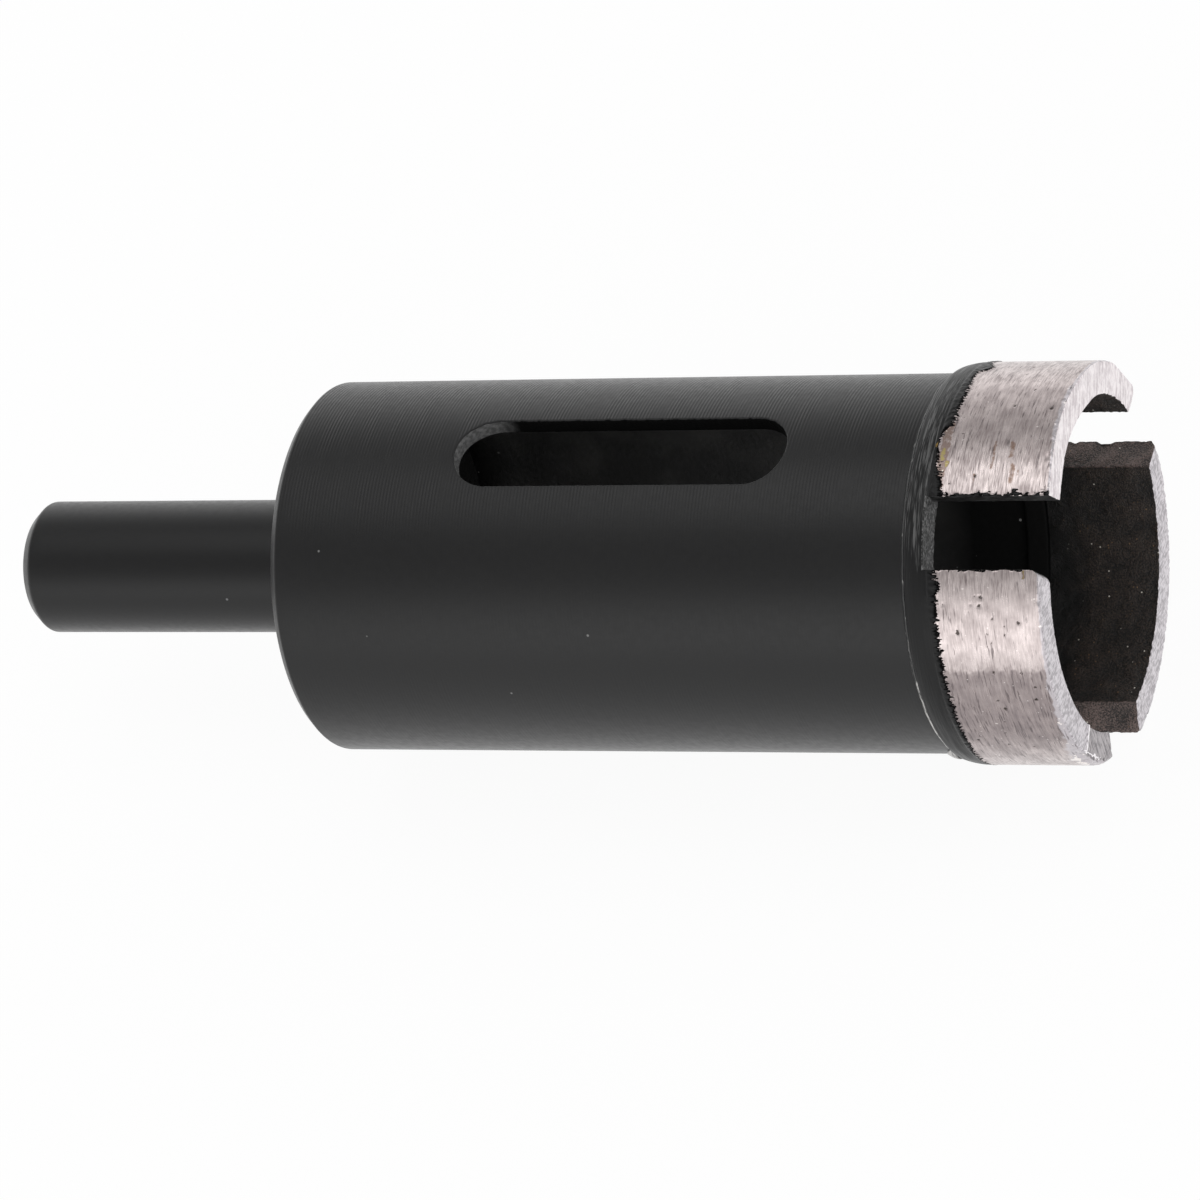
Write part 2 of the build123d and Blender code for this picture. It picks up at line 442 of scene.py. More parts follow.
def makeSinterSkin(kind):
    # the mould's skin left inside and in the gaps: dark brown and rough, with amber diamond grit, and white
    # dots that are painted glints of the grit. The grit is under 0.1 mm and is drawn no finer than it can
    # show
    material, add, place = newMaterial("sintered_skin_" + kind)
    look = sinterSkin[kind]
    cloud = mottle(add, place, 1.8, 6.0)
    grain = mottle(add, place, 0.12)
    mixed = add("Mix", {0: 0.65, 2: cloud, 3: grain})
    colour = coat(add, look["dark"], look["brown"], mixed, 0.43, 0.6)
    # the amber grit shows in clusters
    clusters = add("MapRange", {0: cloud, 1: 0.5, 2: 0.64, 3: 0.05, 4: 0.9})
    colour = speckle(add, place, colour, sinterSkin["amber"], 0.3, 0.07, look["gritShare"], clusters)
    colour = speckle(add, place, colour, sinterSkin["glint"], 0.62, 0.07, look["gritShare"] * 0.6)
    if kind == "inside":
        # overspray from the tube reaches over the first part of the segment, its black also painted shade
        # deep in the bore
        along = add("SeparateXYZ", {0: place}, "X")
        ragged = add("Math", {0: cloud, 1: 4 * mm, 2: along}, operation="MULTIPLY_ADD")
        sprayAndShade = add("MapRange", {0: ragged, 1: 36.2 * mm, 2: 38.2 * mm, 3: 0.95, 4: 0.0})
        colour = coat(add, colour, sinterSkin["sprayAndShade"], sprayAndShade)
    useShader(add, colour, sinterSkin["roughness"], [(cloud, 0.5), (grain, 0.12)])
    return material


gapPaint = {
    "lumpy": {"dark": "#0c0c0c", "light": "#3c3c3c", "clot": 0.5, "height": 0.12},
    "scraped": {"dark": "#1c1c1c", "light": "#6c6c6c", "clot": 0.22, "height": 0.1},
    "gloss": 0.3,
    "roughness": 0.5,
}


def makeGapPaint(kind):
    # paint run thickly into the gap: lumpy and black on the segment's end, and scraped to grey
    # crumbs on the ring's face
    material, add, place = newMaterial(kind + "_black_paint")
    look = gapPaint[kind]
    clots = mottle(add, place, look["clot"], 4.0)
    colour = coat(add, look["dark"], look["light"], clots, 0.46, 0.66)
    useShader(add, colour, gapPaint["roughness"], [(clots, look["height"])], gapPaint["gloss"])
    return material


segmentBraze = {"brass": "#8f7440"}


def makeSegmentBraze():
    # brass braze between ring and segment, all but hidden: black paint covers most of its edge
    material, add, place = newMaterial("painted_brass_braze")
    cloud = mottle(add, place, 1.2)
    bare = add("MapRange", {0: cloud, 1: 0.7, 2: 0.76})
    colour = coat(add, ringPaint["paint"], segmentBraze["brass"], bare)
    useShader(add, colour, ringPaint["roughness"], [(cloud, 0.1)],
              ringPaint["gloss"], bare)
    return material


barrelBlack, shankBlack = (makeBlackPaint(kind) for kind in ("turned", "ground"))
boreBlack = makeBorePaint()
slotBlack = makeSlotEdgePaint()
ringBlack = makeRingPaint()
beadMetal = makeBeadBraze()
outerMetal = makeGroundMetal()
rimFiled, rimPolished, rimTorn = (makeRimMetal(kind) for kind in ("filed", "polished", "torn"))
skinInside, skinEnds = (makeSinterSkin(kind) for kind in ("inside", "ends"))
gapBlack, gapScraped = (makeGapPaint(kind) for kind in ("lumpy", "scraped"))
brazeMetal = makeSegmentBraze()
print("materials made:", len(bpy.data.materials))


# Turned pieces

def breakCorners(outline, reach, steps=4, sharp=()):
    # every corner of a closed outline of (x, radius) becomes a small curve, but for the sharp ones
    # and those on the axis
    points = []
    for index, (x, radius) in enumerate(outline):
        corner = Vector((x, radius))
        if radius == 0 or (x, radius) in sharp:
            points.append(corner)
            continue
        before = Vector(outline[index - 1]) - corner
        after = Vector(outline[(index + 1) % len(outline)]) - corner
        size = min(reach, before.length * 0.45, after.length * 0.45)
        start = corner + before.normalized() * size
        end = corner + after.normalized() * size
        for step in range(steps + 1):
            t = step / steps
            points.append(start * (1 - t) ** 2 + corner * (2 * t * (1 - t)) + end * t ** 2)
    return points


def fillSpans(points, longest, stations=()):
    # long stretches get points in between, and level ones a point at each station that they pass
    filled = []
    for index, point in enumerate(points):
        ahead = points[(index + 1) % len(points)]
        low, high = sorted((point.x, ahead.x))
        level = abs(ahead.y - point.y) < 1e-6
        passed = sorted((x for x in stations if level and low < x < high), reverse=ahead.x < point.x)
        stops = [point] + [Vector((x, point.y)) for x in passed] + [ahead]
        for first, second in zip(stops, stops[1:]):
            count = int((second - first).length / longest)
            filled += [first.lerp(second, step / (count + 1)) for step in range(count + 1)]
    return filled


def spin(name, points, steps, materials, shape=None, slotOf=None):
    # turns a closed outline about the bit's axis. shape may shift a point: (x, radius, angle) in and out.
    # slotOf may choose a face's material slot from the middle of its edge and its angle
    vertices, faces, slots = [], [], []
    count = len(points)
    for step in range(steps):
        angle = 360 * step / steps
        for x, radius in points:
            place = shape(x, radius, angle) if shape else (x, radius, angle)
            vertices.append(at(*place))
    for step in range(steps):
        here, ahead = step * count, (step + 1) % steps * count
        for index in range(count):
            after = (index + 1) % count
            onAxis = [points[index][1] == 0, points[after][1] == 0]
            if all(onAxis):
                continue
            if onAxis[0]:
                faces.append([index, here + after, ahead + after])
            elif onAxis[1]:
                faces.append([here + index, after, ahead + index])
            else:
                faces.append([here + index, here + after, ahead + after, ahead + index])
            middle = (points[index] + points[after]) / 2
            slots.append(slotOf(middle.x, middle.y, 360 * (step + 0.5) / steps) if slotOf else 0)
    return meshPiece(name, vertices, faces, materials, slots)


shank = {
    "radius": 4.8,
    "chamferLength": 0.87,
    "chamferDepth": 0.82,
    "plugThick": 6.0,
    "brokenEdge": 0.2,
    "longestSpan": 0.8,
    "steps": 240,
}


def makeShank():
    # shank and plug in one. The plug's inner face has the bore's dull coat
    radius, plugFace = shank["radius"], barrelBackX + shank["plugThick"]
    outline = [
        (shankEndX, 0),
        (shankEndX, radius - shank["chamferDepth"]),
        (shankEndX + shank["chamferLength"], radius),
        (barrelBackX, radius),
        (barrelBackX, barrelBore),
        (plugFace, barrelBore),
        (plugFace, 0),
    ]
    points = fillSpans(breakCorners(outline, shank["brokenEdge"]), shank["longestSpan"])
    piece = spin("shank_turned", points, shank["steps"], [shankBlack, boreBlack],
                 slotOf=lambda x, r, angle: 1 if x > plugFace - 0.3 else 0)
    standFor(piece, "shank")


# angle and width of each gap between two segments
gaps = {"front": (118.5, 5.05), "back": (357.0, 5.8), "under": (236.4, 5.9)}
ring = {"shoulderEdge": 0.12, "shoulderDrop": 0.25, "brokenEdge": 0.08, "rough": 0.07, "longestSpan": 0.2,
        "steps": 720}


def inGap(angle):
    # 1 where the ring's front is laid bare between two segments, and 0 under a segment
    bare = 0.0
    for middle, width in gaps.values():
        half = math.degrees(math.asin(width / 2 / crownRadius))
        away = abs((angle - middle + 180) % 360 - 180)
        bare = max(bare, 1 - smoothStep(away, half - 0.6, half))
    return bare


def ringShape(x, radius, angle):
    # the ring's front face and outer front edge are rough where the gaps lay them bare
    point = at(x, radius, angle)
    front = smoothStep(x, ringFrontX - 0.35, ringFrontX) * inGap(angle)
    lump = (lumps(point, 0.35, 4.0) + 0.6 * lumps(point, 0.13, 8.0)) * ring["rough"]
    outside = 1 if radius > crownRadius - 0.6 else 0
    return x + (lump - ring["rough"]) * front * 0.8, radius + (lump - ring["rough"]) * front * outside, angle


def ringSlot(x, radius, angle):
    # 0 outside, 1 in the bore, 2 on the front face in a gap
    if radius < crownBore + 0.05:
        return 1
    return 2 if x > ringFrontX - 0.06 and inGap(angle) else 0


def makeRing():
    swellFrom = ringBackX + ring["shoulderEdge"]
    shoulder = crownRadius - ring["shoulderDrop"]
    outline = [(ringBackX, shoulder - ring["shoulderEdge"]), (swellFrom, shoulder)]
    # the outside swells in an arc that runs level into the crown
    for step in range(1, 8):
        t = step / 8
        radius = crownRadius - ring["shoulderDrop"] * (1 - t) ** 2
        outline.append((swellFrom + (ringFrontX - swellFrom) * t, radius))
    outline += [(ringFrontX, crownRadius), (ringFrontX, crownBore), (ringBackX, crownBore)]
    # the corner that meets the braze stays sharp, so that the paint over both is unbroken
    points = fillSpans(breakCorners(outline, ring["brokenEdge"], 3, [(ringFrontX, crownRadius)]),
                       ring["longestSpan"])
    piece = spin("crown_ring_turned", points[::-1], ring["steps"], [ringBlack, boreBlack, gapScraped],
                 ringShape, ringSlot)
    standFor(piece, "crown_ring")


bead = {
    "leg": 0.36,           # its height up the ring's back face
    "foot": 0.32,          # its reach along the barrel
    "uneven": 0.2,
    "wornAngle": 189.0,    # where the paint is off it most
    "wornSpan": 25.0,
    "lumpAngle": 207.0,    # a drop of braze left at the joint
    "lumpSpan": 3.2,
    "lumpReach": 0.6,
    "steps": 720,
}


def beadShape(x, radius, angle):
    point = at(x, radius, angle)
    drop = math.exp(-((angle - bead["lumpAngle"]) / bead["lumpSpan"]) ** 2) * bead["lumpReach"]
    grow = 1 + lumps(point, 0.9, 9.0) * bead["uneven"]
    if x < ringBackX - 0.01:
        x = ringBackX - (ringBackX - x) * grow - drop * (ringBackX - x) / bead["foot"]
    if radius > barrelRadius + 0.01:
        radius = barrelRadius + (radius - barrelRadius) * grow + drop * 0.3
    return x, radius, angle


def makeBead():
    outline = [
        (ringBackX - bead["foot"], barrelRadius - 0.05),
        (ringBackX - bead["foot"], barrelRadius + 0.03),
        (ringBackX - bead["foot"] * 0.45, barrelRadius + bead["leg"] * 0.78),
        (ringBackX, barrelRadius + bead["leg"]),
        (ringBackX, barrelRadius - 0.05),
    ]
    points = breakCorners(outline, 0.08, 3)
    piece = spin("joint_bead_braze", points, bead["steps"], [beadMetal], beadShape)
    worn = piece.data.attributes.new("worn", "FLOAT", "POINT")
    for index in range(len(piece.data.vertices)):
        angle = 360 * (index // len(points)) / bead["steps"]
        worn.data[index].value = 0.3 + 0.35 * math.exp(-((angle - bead["wornAngle"]) / bead["wornSpan"]) ** 2)
    standFor(piece, "joint_bead")


makeShank()
makeRing()
makeBead()
print("turned pieces made")


# Barrel

barrel = {
    "backBevel": 0.6,
    "brokenEdge": 0.12,
    "slotLength": 24.93,
    "slotWidth": 5.7,
    "slotSetback": 22.2,
    "lip": 0.10,            # rounding of the slot's edge
    "jagged": 0.11,         # how far the burred edge wanders
    "patchMargin": 3.0,     # ring of finer mesh round the slot
    "patchAngle": 26.0,     # how far down each side it reaches
    "sidePoints": 150,
    "endPoints": 48,
    "stepAngle": 1.5,
    "longestSpan": 1.0,
}
slotCentre = ringBackX - barrel["slotSetback"]
slotHalf = barrel["slotWidth"] / 2
slotStraight = barrel["slotLength"] / 2 - slotHalf


def slotLoop(offset, radius, jagged=0.0):
    # points round the slot on a cylinder, as (x, angle from the top), offset outward in plan
    plan = []
    for end in (1, -1):
        for step in range(barrel["sidePoints"]):
            t = step / barrel["sidePoints"]
            plan.append((slotCentre + end * slotStraight * (2 * t - 1), end * (slotHalf + offset)))
        for step in range(barrel["endPoints"]):
            turn = math.radians(90 - 180 * step / barrel["endPoints"])
            x = slotCentre + end * (slotStraight + (slotHalf + offset) * math.cos(turn))
            plan.append((x, end * (slotHalf + offset) * math.sin(turn)))
    placed = []
    for x, y in plan:
        wander = noise.noise(Vector((x * 1.7, y, 5.0))) + noise.noise(Vector((x * 6.3, y * 3, 1.0)))
        burr = jagged * (1.0 if y > 0 else 0.25)
        y += math.copysign(wander * burr, y)
        placed.append((x, math.degrees(math.asin(y / radius))))
    return placed


def patchLoop():
    # the same number of points round the rectangle that the slot's finer mesh fills
    reach = barrel["slotLength"] / 2 + barrel["patchMargin"]
    across = barrel["patchAngle"]
    quarter = barrel["endPoints"] // 4
    corners = [(-slotStraight, across), (slotStraight, across), (reach, across), (reach, -across),
               (slotStraight, -across)]
    counts = (barrel["sidePoints"], quarter, 2 * quarter, quarter)
    points = []
    for end in (1, -1):
        for (x0, a0), (x1, a1), count in zip(corners, corners[1:], counts):
            for t in (step / count for step in range(count)):
                points.append((slotCentre + end * (x0 + (x1 - x0) * t), end * (a0 + (a1 - a0) * t)))
    return points


def slotLevels(rectangle):
    # loops from the rectangle outside, over the lip, down the slot's wall and out to the rectangle inside
    lip, jagged = barrel["lip"], barrel["jagged"]
    levels = []
    near = slotLoop(lip * 1.3, barrelRadius, jagged)
    for t in (0.0, 0.25, 0.48, 0.68, 0.82, 0.92, 0.98):
        levels.append((0, [(x0 + (x1 - x0) * t, barrelRadius, a0 + (a1 - a0) * t)
                           for (x0, a0), (x1, a1) in zip(rectangle, near)]))
    for step in range(5):
        turn = math.radians(90 * step / 4)
        radius = barrelRadius - lip * (1 - math.cos(turn))
        levels.append((0, [(x, radius, a) for x, a in slotLoop(lip * (1 - math.sin(turn)), radius, jagged)]))
    wallTop = barrelRadius - lip
    for share in (0.25, 0.5, 0.75, 1.0):
        radius = wallTop + (barrelBore - wallTop) * share
        levels.append((1, [(x, radius, a) for x, a in slotLoop(0.0, radius, jagged * (1 - share))]))
    near = slotLoop(0.0, barrelBore)
    for t in (0.1, 0.3, 0.6, 1.0):
        levels.append((2, [(x1 + (x0 - x1) * t, barrelBore, a1 + (a0 - a1) * t)
                           for (x0, a0), (x1, a1) in zip(rectangle, near)]))
    return levels


def makeBarrel():
    rectangle = patchLoop()
    xLines = sorted({round(x, 5) for x, angle in rectangle})
    angleLines = sorted({round(angle, 5) for x, angle in rectangle if abs(x - xLines[-1]) < 1e-4})
    span = barrel["patchAngle"]
    # angles all the way round, measured from the top: the patch's own lines, then even steps
    count = round((360 - 2 * span) / barrel["stepAngle"])
    around = angleLines + [span + (360 - 2 * span) * step / count for step in range(1, count)]

    bevel = barrel["backBevel"]
    outline = [(ringBackX, barrelBore), (ringBackX, barrelRadius), (barrelBackX + bevel, barrelRadius),
               (barrelBackX, barrelRadius - bevel), (barrelBackX, barrelBore)]
    full = fillSpans(breakCorners(outline, barrel["brokenEdge"]), barrel["longestSpan"], xLines)

    vertices, faces, slots = [], [], []
    rows = len(full)
    for angle in around:
        vertices += [at(p.x, p.y, 90 - angle) for p in full]
    for column in range(len(around)):
        ahead = (column + 1) % len(around)
        inPatch = column < len(angleLines) - 1
        for row in range(rows):
            after = (row + 1) % rows
            a, b = full[row], full[after]
            within = min(a.x, b.x) > xLines[0] - 1e-4 and max(a.x, b.x) < xLines[-1] + 1e-4
            if inPatch and within and abs(a.y - b.y) < 1e-6:
                continue
            here, there = column * rows, ahead * rows
            faces.append([here + row, here + after, there + after, there + row])
            slots.append(2 if max(a.y, b.y) < barrelBore + 0.1 else 0)

    start, points = len(vertices), len(rectangle)
    levels = slotLevels(rectangle)
    for _, loop in levels:
        vertices += [at(x, radius, 90 - a) for x, radius, a in loop]
    for level in range(len(levels) - 1):
        first = start + level * points
        for index in range(points):
            ahead = (index + 1) % points
            faces.append([first + index, first + points + index, first + points + ahead, first + ahead])
            slots.append(levels[level + 1][0])
    piece = meshPiece("barrel_tube", vertices, faces, [barrelBlack, slotBlack, boreBlack], slots)
    weld(piece)
    standFor(piece, "barrel")


def weld(piece):
    # joins the vertices that lie on each other along the seams of the mesh
    mesh = bmesh.new()
    mesh.from_mesh(piece.data)
    bmesh.ops.remove_doubles(mesh, verts=mesh.verts, dist=0.0005 * mm)
    bmesh.ops.recalc_face_normals(mesh, faces=mesh.faces)
    mesh.to_mesh(piece.data)
    mesh.free()


makeBarrel()
print("barrel made")


# Crown segments

wear = {
    "edge": 0.09,           # rounding left along the edges
    "spacing": 0.09,        # mesh spacing, fine enough for the pits and nicks
    "chipRough": 0.08,
    "wornRound": 0.8,       # radius of a rounded rim corner
    "nick": 0.13,           # how deep the nicks along the edges are
    "unevenRim": 0.05,
    "facetDrop": 0.08,      # how far the last part of the front segment's rim lies lower
    "facetAngle": 199.5,
    "facetBurr": 0.09,
    "smallPits": 14,        # on each segment, besides those listed
    "pitDepth": 0.04,
    "pitWander": 0.11,      # how far the marks' outlines stray
    "paintThick": 0.06,
}

# Each segment runs from one gap to another. Worn names the gaps beside which its rim corner is rounded.
# Chips are (gap, run round the rim, depth at the gap, height). Pits are (x, angle, size). Stains, copper
# and brass are (x, first angle, last angle, width). The paint's edge is (angle, x). The rim's shift
# forward, the bevel worn along its outer edge and the coarsely ground part are (angle, amount). The
# coarsely ground part is darker, and on the front segment from about 160 to 190 degrees that darker colour
# is also painted shade. The lap is how far paint runs over the edge of the front gap. Notches in the last
# end's outer edge are (x, width, depth)
segments = {
    "top": {
        "from": "back", "to": "front", "seed": 11, "lap": 0.16,
        "chips": [("back", 1.1, 0.75, 2.0), ("back", 5.4, 0.2, 2.5)],
        "pits": [(40.2, 78.4, 0.2), (35.9, 102.1, 0.12), (37.5, 77.3, 0.09), (34.2, 82.0, 0.1)],
        "stains": [(36.95, 91.5, 99.5, 0.2), (38.15, 91.5, 96.0, 0.28), (38.35, 99.0, 104.0, 0.3),
                   (38.75, 100.5, 102.0, 0.12), (35.84, 101.5, 104.0, 0.14)],
        "copper": [(33.5, 85.0, 105.0, 0.42)],
        "brass": [(33.46, 93.5, 96.8, 0.2), (33.85, 97.5, 99.0, 0.16)],
        "paintEdge": [(9, 33.3), (44, 33.5), (49, 33.9), (53, 34.3), (56, 33.9), (58, 33.52), (63, 33.52),
                      (68, 33.72), (85, 33.7), (86, 33.3), (88, 33.08), (93, 33.05), (99, 33.36),
                      (103, 33.67), (109, 33.9)],
        "rimShift": [(9, 0.0), (44, 0.05), (58, 0.25), (80, 0.2), (88, 0.25), (100, 0.42), (109, 0.5)],
        "bevel": [(9, 0.1), (30, 0.2), (60, 0.15), (75, 0.25), (88, 0.2), (100, 0.1), (109, 0.1)],
        "coarse": [(9, 0.0), (64, 0.0), (72, 0.3), (82, 0.3), (89, 0.15), (94, 0.0), (109, 0.0)],
        "ends": {"front": "paint", "back": "skin"},
    },
    "front": {
        "from": "front", "to": "under", "seed": 23, "lap": 0.07, "worn": ["front"],
        "chips": [("under", 1.5, 0.55, 2.0)],
        "pits": [(36.8, 136.6, 0.19), (36.67, 139.1, 0.16), (35.9, 140.8, 0.1), (34.94, 146.9, 0.22),
                 (37.1, 147.3, 0.11), (37.25, 149.9, 0.12), (39.4, 144.0, 0.16), (38.35, 145.1, 0.09),
                 (37.07, 159.2, 0.14), (39.05, 159.5, 0.12), (39.85, 164.1, 0.14), (39.67, 168.6, 0.16),
                 (36.82, 169.0, 0.14), (37.17, 172.3, 0.17), (34.2, 186.9, 0.14), (36.21, 189.7, 0.14)],
        "brass": [(39.95, 129.6, 131.0, 0.12)],
        "paintEdge": [(128, 33.6), (134, 33.85), (137, 33.62), (150, 33.55), (172, 33.5), (185, 33.4),
                      (196, 33.34), (208, 33.15), (225, 33.0)],
        "rimShift": [(128, 0.0), (225, 0.0)],
        "bevel": [(128, 0.1), (146, 0.12), (154, 0.2), (175, 0.28), (188, 0.45), (196, 0.75), (204, 0.9),
                  (225, 0.9)],
        "coarse": [(128, 0.1), (134, 0.0), (137, -0.5), (156, -0.5), (158, 0.0), (160, 0.75), (170, 0.85),
                   (185, 0.9), (193, 0.4), (203, 0.1), (225, 0.0)],
        "ends": {"front": "paint", "under": "skin"},
    },
    "bottom": {
        "from": "under", "to": "back", "seed": 37, "notches": [(37.4, 1.3, 0.3), (35.0, 0.6, 0.12)],
        "chips": [("back", 2.4, 0.6, 0.35), ("under", 0.5, 0.3, 0.4)],
        "pits": [],
        "paintEdge": [(236, 33.3), (290, 33.6), (360, 33.2)],
        "rimShift": [(248, 0.0), (345, 0.0)],
        "bevel": [(248, 0.12), (300, 0.18), (345, 0.15)],
        "coarse": [(248, 0.2), (345, 0.2)],
        "ends": {"under": "skin", "back": "skin"},
    },
}


def gapEdge(gap, side, radius):
    # angle of a gap's wall at a radius: side 1 is the wall at the higher angle
    middle, width = gaps[gap]
    return (middle + side * math.degrees(math.asin(width / 2 / radius))) % 360


def arcSpan(name, radius):
    return gapEdge(segments[name]["from"], 1, radius), gapEdge(segments[name]["to"], -1, radius)


def valueAt(points, angle):
    # reads a value along straight runs between (angle, value) points
    for (a0, v0), (a1, v1) in zip(points, points[1:]):
        if a0 <= angle <= a1:
            return v0 + (v1 - v0) * (angle - a0) / (a1 - a0)
    return points[0][1] if angle < points[0][0] else points[-1][1]


def chipPlane(name, gap, run, depth, height):
    # plane through three points of the knocked-off corner, its normal pointing at what is gone
    side = 1 if segments[name]["from"] == gap else -1
    rimAngle = gapEdge(gap, side, crownRadius)
    inner = crownRadius - depth
    onArc = at(rimX, crownRadius, rimAngle + side * math.degrees(run / crownRadius))
    onEnd = at(rimX, inner, gapEdge(gap, side, inner))
    below = at(rimX - height, crownRadius, rimAngle)
    normal = (onArc - onEnd).cross(below - onEnd).normalized()
    if normal.dot(at(rimX, crownRadius, rimAngle) - onEnd) < 0:
        normal.negate()
    return onEnd, normal


def roundBlock(x, share, radius, xFrom, xTo, edge, name):
    # a point on a block bent round the axis, with its edges rounded: gives (x, distance along it,
    # radius), and the block's length at that radius
    start, end = arcSpan(name, radius)
    length = math.radians(end - start) * radius
    here = Vector((x, share * length, radius))
    inside = Vector((min(max(x, xFrom + edge), xTo - edge), min(max(here.y, edge), length - edge),
                     min(max(radius, crownBore + edge), crownRadius - edge)))
    out = here - inside
    if out.length > edge:
        out = out.normalized() * edge
    return inside + out, length


def wearCorner(place, length, name):
    # the rim corner worn round beside a gap
    x, along, radius = place
    reach = wear["wornRound"]
    for gap in segments[name].get("worn", ()):
        starts = segments[name]["from"] == gap
        fromEnd = along if starts else length - along
        dx, ds = x - (rimX - reach), reach - fromEnd
        far = math.hypot(dx, ds)
        if dx > 0 and ds > 0 and far > reach:
            x = rimX - reach + dx * reach / far
            fromEnd = reach - ds * reach / far
            along = fromEnd if starts else length - fromEnd
    return x, along, radius


def markAt(name, x, angle, radius, point):
    # how far a point lies in a pit, a stain or a smear, each from 0 to 1. A copper smear counts half
    segment = segments[name]
    seed = segment["seed"]
    arc = math.radians(1) * radius
    x += lumps(point, 0.16, seed + 9) * wear["pitWander"]
    angle += lumps(point, 0.16, seed + 10) * wear["pitWander"] / arc

    def within(kind, inner, outer):
        share = 0.0
        for px, first, last, width in segment.get(kind, ()):
            past = max(first - angle, angle - last, 0) * arc
            share = max(share, 1 - smoothStep(math.hypot(x - px, past), width * inner, width * outer))
        return share

    pit = 0.0
    for px, pitAngle, size in segment["pits"]:
        far = math.hypot(x - px, (angle - pitAngle) * arc)
        pit = max(pit, 1 - smoothStep(far, size * 0.3, size * 1.3))
    return pit, within("stains", 0.3, 1.2), max(within("brass", 0.4, 1.1), within("copper", 0.6, 1.05) * 0.5)


def wearRim(name, x, radius, angle, point):
    # the rim's outer edge worn to a slope, and the facet on the front segment: gives x, radius, how
    # far the point lies in the worn edge, and how far in the painted highlight on the facet's burr
    seed = segments[name]["seed"]
    size = valueAt(segments[name]["bevel"], angle) * (1 + 0.5 * lumps(point, 0.5, seed + 6))
    share = (rimX - x) / size + (crownRadius - radius) / (0.5 * size)
    lost = max(0.0, 1 - share)
    x -= lost * 0.2 * size
    radius -= lost * 0.4 * size
    filed = 1 - smoothStep(share, 0.8, 1.9)
    burrGlint = 0.0
    if name == "front" and x > rimX - 2:
        past = (angle + lumps(point, 0.7, 3.0) * 0.6 - wear["facetAngle"]) * math.radians(1) * radius
        top = smoothStep(x, rimX - 0.3, rimX - 0.05)
        x -= wear["facetDrop"] * smoothStep(past, -0.05, 0.12) * top
        x += wear["facetBurr"] * math.exp(-((past + 0.08) / 0.09) ** 2) * top
        # a burr runs along the facet's edge, and its highlight is painted along it and on along the outer
        # corner
        burrGlint = (1 - smoothStep(abs(past + 0.06), 0.04, 0.15)) * top
        if -0.5 < past < 3.2:
            burrGlint = max(burrGlint, 1 - smoothStep(abs(share - 1.0), 0.1, 0.3))
    return x, radius, filed, burrGlint


def segmentPoint(name, x, share, radius, planes):
    # one point of a segment's surface with all its wear, and the marks that its material reads
    segment = segments[name]
    seed = segment["seed"]
    outside = radius > crownRadius - 1e-6
    # the root isn't rounded, so that the paint over it and the braze is unbroken
    place, length = roundBlock(x, share, radius, segmentX - wear["edge"], rimX, wear["edge"], name)
    x, along, radius = wearCorner(place, length, name)
    angle = arcSpan(name, radius)[0] + math.degrees(along / radius)
    marks = markAt(name, x, angle, radius, at(x, radius, angle)) if outside else (0.0, 0.0, 0.0)
    x, radius, filed, burrGlint = wearRim(name, x, radius, angle, at(x, radius, angle))

    forward = smoothStep(x, segmentX, rimX)
    x += valueAt(segment["rimShift"], angle) * forward
    point = at(x, radius - marks[0] * wear["pitDepth"], angle)
    point.x -= (lumps(point, 2.5, seed + 5) + 1) * wear["unevenRim"] * forward * mm * 0.5

    # nicks along the edges, deepest where two faces meet
    sides = sorted((rimX - x, along, length - along, radius - crownBore, crownRadius - radius))
    close = 1 - smoothStep(sides[1], 0.0, 0.3)
    gnawed = lumps(point, 0.4, seed) * 0.8 + lumps(point, 0.18, seed + 2) * 0.5 + 0.1
    bite = max(0.0, gnawed) * close * wear["nick"]
    for notchX, width, depth in segment.get("notches", ()):
        corner = 1 - smoothStep(max(length - along, crownRadius - radius), 0.05, 0.4)
        bite += depth * corner * (1 - smoothStep(abs(x - notchX), width * 0.2, width * 0.6))
    inward = (Vector((point.x, 0, axisHeight * mm)) - point).normalized()
    if rimX - x < 0.3:
        inward = (inward + Vector((-1, 0, 0))).normalized()
    point = point + inward * bite * mm
    for origin, normal in planes:
        above = (point - origin).dot(normal)
        rough = lumps(point, 0.3, seed + 3) * wear["chipRough"] * mm
        if above + rough > 0:
            point = point - normal * (above + rough)

    # paint laps over the edge of the front gap, and covers the root
    bareDepth = x - valueAt(segment["paintEdge"], angle)
    for gap, fromEnd in ((segment["from"], along), (segment["to"], length - along)):
        if gap == "front":
            lap = segment["lap"]
            lap *= 1 + 1.8 * lumps(point, 0.5, seed + 11) + 1.8 * lumps(point, 0.22, seed + 12)
            bareDepth = min(bareDepth, 2 * (fromEnd - lap))
    if outside:
        thick = wear["paintThick"] * (1 + 0.8 * lumps(point, 0.3, seed + 13))
        thick *= smoothStep(x, segmentX, segmentX + 0.2)
        point = point - inward * thick * (1 - smoothStep(bareDepth, -0.12, 0.02)) * mm
    ragged = angle + 2.0 * lumps(point, 0.25, seed + 7) + 1.5 * lumps(point, 1.5, seed + 8)
    coarse = valueAt(segment["coarse"], ragged)
    return point, (*marks, coarse), bareDepth, filed, burrGlint, angle


def ladder(length, spacing, edge):
    # stations along one side of a block, closer together in the rounded edges
    count = max(2, round((length - 2 * edge) / spacing))
    inside = [edge + (length - 2 * edge) * step / count for step in range(count + 1)]
    return [0.0, edge * 0.4, edge * 0.7] + inside + [length - edge * 0.7, length - edge * 0.4, length]


